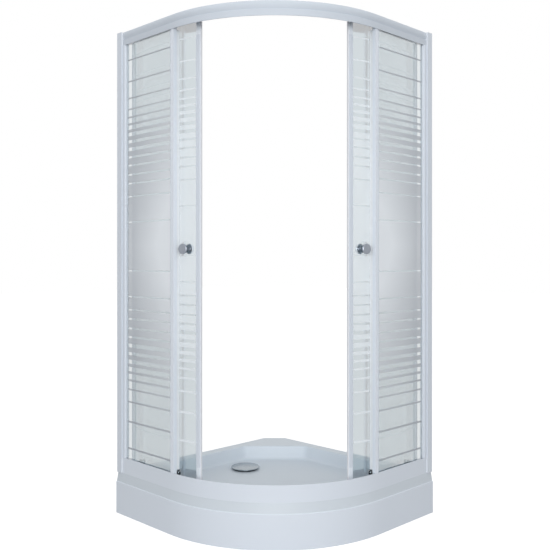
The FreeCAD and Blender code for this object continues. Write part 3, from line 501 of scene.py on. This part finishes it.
def leave_clear(material, spot, radius):
    """Stop a print short of a drilled hole: the glass stays bare within a radius of the spot."""
    tree = material.node_tree
    shader = tree.nodes["Principled BSDF"]
    printed = shader.inputs["Alpha"].links[0].from_socket
    place = add(tree, "TexCoord", {})["Object"]
    distance = add(tree, "VectorMath", {0: place, 1: spot}, operation="DISTANCE")["Value"]
    beyond = maths(tree, "GREATER_THAN", distance, radius)
    feed(tree, shader, {"Alpha": maths(tree, "MULTIPLY", printed, beyond)})


joints = {joint["name"]: joint for joint in frame["record"]["behaviour"]["joints"]}
pole_x, pole_y = joints["left_door_run"]["pos_m"][:2]
run_radius = 0.800275
glass_half = 0.0025
trail_bearing = math.radians(-14.414)
lead_bearing = math.radians(16.3595)
trail_margin = 0.016
lead_margin = 0.019
clear_radius = 0.029
print_radius = run_radius + glass_half + print_lift
first_bearing = trail_bearing + trail_margin / print_radius
last_bearing = lead_bearing - lead_margin / print_radius
spare = 0.01
left_door_bands = flat_bands(
    "left_door_bands",
    band_levels(middle=1.123, scale=1.0, rise_draw=-0.036, fall_draw=0.055),
    place=(pole_x, pole_y - print_radius - spare / 2),
    width=spare,
    turn=math.radians(90),
)
bpy.ops.mesh.select_all(action="DESELECT")
bpy.ops.object.mode_set(mode="OBJECT")
for corner in left_door_bands.data.vertices:
    corner.select = corner.co.y < pole_y - print_radius - spare / 2
bpy.ops.object.mode_set(mode="EDIT")
bpy.ops.mesh.delete(type="VERT")
bpy.ops.mesh.select_all(action="SELECT")
bpy.ops.transform.rotate(value=-first_bearing, orient_axis="Z", center_override=(pole_x, pole_y, 0))
bpy.ops.mesh.spin(steps=48, angle=last_bearing - first_bearing, center=(pole_x, pole_y, 0), axis=(0, 0, -1))
bpy.ops.mesh.select_all(action="SELECT")
bpy.ops.mesh.remove_doubles(threshold=0.00001)
bpy.ops.mesh.normals_make_consistent(inside=False)
bpy.ops.object.mode_set(mode="OBJECT")
bpy.ops.object.shade_smooth()
right_door_bands = mirrored(left_door_bands, "right_door_bands")
for side, bands in (("left", left_door_bands), ("right", right_door_bands)):
    bolt_low, bolt_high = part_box(f"{side}_knob_bolt")
    hole = [(low + high) / 2 for low, high in zip(bolt_low, bolt_high)]
    door_frost = frosted(
        f"{side}_door_frost", (0.88, 0.94, 1.0), (0.9, 0.96, 1.0), cover=0.5, middle=1.12, reach=2
    )
    leave_clear(door_frost, hole, clear_radius)
    bands.data.materials.append(door_frost)
    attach(bands, f"{side}_door")

# Door beads: the same vinyl strips as on the panes, pushed in beside the bent glass.
# One runs up each face of the glass along each of the door's stiles, for the stile's full height.
door_stile_width = 0.015
trail_lip = trail_bearing + door_stile_width / run_radius
lead_lip = lead_bearing - door_stile_width / run_radius
door_stile_low, door_stile_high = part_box("left_trail_stile")
for bearing, way in ((trail_lip, 1), (lead_lip, -1)):
    for radius, outward in ((run_radius + glass_half, -1), (run_radius - glass_half, 1)):
        face = (pole_x, pole_y - radius)
        bead(face, way * bead_reach, outward * bead_rise, door_stile_low[2], door_stile_high[2])
        bpy.ops.mesh.select_linked()
        bpy.ops.transform.rotate(value=-bearing, orient_axis="Z", center_override=(pole_x, pole_y, 0))
left_door_beads = finished_beads("left_door_beads")
right_door_beads = mirrored(left_door_beads, "right_door_beads")
for beads, body in ((left_door_beads, "left_door"), (right_door_beads, "right_door")):
    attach(beads, body)

# Rollers: turned nylon wheels with dished faces, two above and two below on each door.
# Each runs on a stepped steel axle, bolted through a hole in the door glass.
wheel_nylon = moulded(
    "wheel_nylon",
    (0.09, 0.095, 0.1),
    (0.07, 0.075, 0.08),
    drift=60,
    rough=(0.35, 0.5),
    grain=2000,
    grain_depth=0.00004,
)
axle_steel = plated("axle_steel", (0.68, 0.69, 0.71), (0.6, 0.61, 0.64), spangle=300, rough=(0.18, 0.3))
for side in ("left", "right"):
    for row in ("upper", "lower"):
        dress(axle_steel, f"{side}_{row}_axles")
        dress(wheel_nylon, f"{side}_{row}_trail_wheel", f"{side}_{row}_lead_wheel")

# Knobs: a pair of turned brass discs per door, drawn together through the glass by a bolt.
# Both are chromed; the outer one's chrome is painted darker, as painted shade, and the inner one's lighter,
# as painted light, so it reads through the glass; the bolt is zinc plated.
# Nylon washers keep the metal off the glass.
turned = {"spangle": 120, "rough": (0.3, 0.4)}
outer_shaded_chrome = plated("knob_outer_shaded_chrome", (0.33, 0.355, 0.4), (0.29, 0.315, 0.36), **turned)
inner_lit_chrome = plated("knob_inner_lit_chrome", (0.62, 0.65, 0.7), (0.57, 0.6, 0.65), **turned)
washer_nylon = moulded(
    "washer_nylon",
    (0.3, 0.32, 0.35),
    (0.27, 0.29, 0.32),
    drift=60,
    rough=(0.4, 0.5),
    grain=2000,
    grain_depth=0.00004,
)
for side in ("left", "right"):
    dress(outer_shaded_chrome, f"{side}_outer_knob")
    dress(inner_lit_chrome, f"{side}_inner_knob")
    dress(zinc, f"{side}_knob_bolt")
    dress(washer_nylon, f"{side}_knob_washers")

# Studio: a pale floor that keeps the part's shadow, in a white surround.
# The floor glows to read as plain white, and glows less behind glass and in mirrors.
# One soft lamp stands behind the camera and one hangs above.
floor_drop = 0.0005
bpy.ops.mesh.primitive_plane_add(size=40, location=(0, 0, -floor_drop))
floor = bpy.context.active_object
floor.name = "studio_floor"
bpy.ops.object.transform_apply(location=True)
floor_paint, tree, shader = blank("floor_paint")
glow_open, glow_behind_glass, glow_mirrored = 0.89, 0.78, 0.7
ray = add(tree, "LightPath", {})
seen = maths(tree, "MAXIMUM", ray["Is Camera Ray"], ray["Is Transmission Ray"])
glow = spread(tree, ray["Transparent Depth"], glow_open, glow_behind_glass)
straight = maths(tree, "MULTIPLY", seen, glow)
in_mirrors = maths(tree, "MULTIPLY", ray["Is Glossy Ray"], glow_mirrored)
paint = {
    "Base Color": (0.3, 0.3, 0.3, 1),
    "Roughness": 0.9,
    "Specular IOR Level": 0,
    "Emission Color": (1, 1, 1, 1),
    "Emission Strength": maths(tree, "MAXIMUM", straight, in_mirrors),
}
feed(tree, shader, paint)
floor.data.materials.append(floor_paint)

surround = bpy.data.worlds.new("studio_surround")
surround.use_nodes = True
bpy.context.scene.world = surround
tree = surround.node_tree
fill_light, seen_light = 0.55, 1.0
ray = add(tree, "LightPath", {})
looked_at = maths(tree, "MAXIMUM", ray["Is Camera Ray"], ray["Is Glossy Ray"])
seen = maths(tree, "MAXIMUM", looked_at, ray["Is Transmission Ray"])
white = {"Color": (1, 1, 1, 1), "Strength": spread(tree, seen, fill_light, seen_light)}
feed(tree, tree.nodes["Background"], white)

for name, size, power, place, tilt in (
    ("front_lamp", 4.5, 290, (4.6, -4.6, 1.7), 88),
    ("top_lamp", 2.5, 16, (0.3, -0.3, 4.0), 0),
):
    lamp_data = bpy.data.lights.new(name, "AREA")
    lamp_data.shape = "DISK"
    lamp_data.size = size
    lamp_data.energy = power
    lamp = bpy.data.objects.new(name, lamp_data)
    bpy.context.collection.objects.link(lamp)
    lamp.location = place
    lamp.rotation_euler = (math.radians(tilt), 0, math.radians(45))

# Camera: a normal lens, held level at chest height, straight in front of the doorway.
# It stands on the enclosure's diagonal, and the picture is shifted to take in the whole height.
lens_data = bpy.data.cameras.new("photo_camera")
lens_data.lens = 50
lens_data.sensor_width = 36
lens_data.shift_x = 0.0007
lens_data.shift_y = -0.0253
camera = bpy.data.objects.new("photo_camera", lens_data)
bpy.context.collection.objects.link(camera)
camera.location = (2.1715, -2.1715, 1.01)
camera.rotation_euler = (math.radians(90), 0, math.radians(45))
bpy.context.scene.camera = camera
bpy.context.scene.view_settings.view_transform = "Standard"
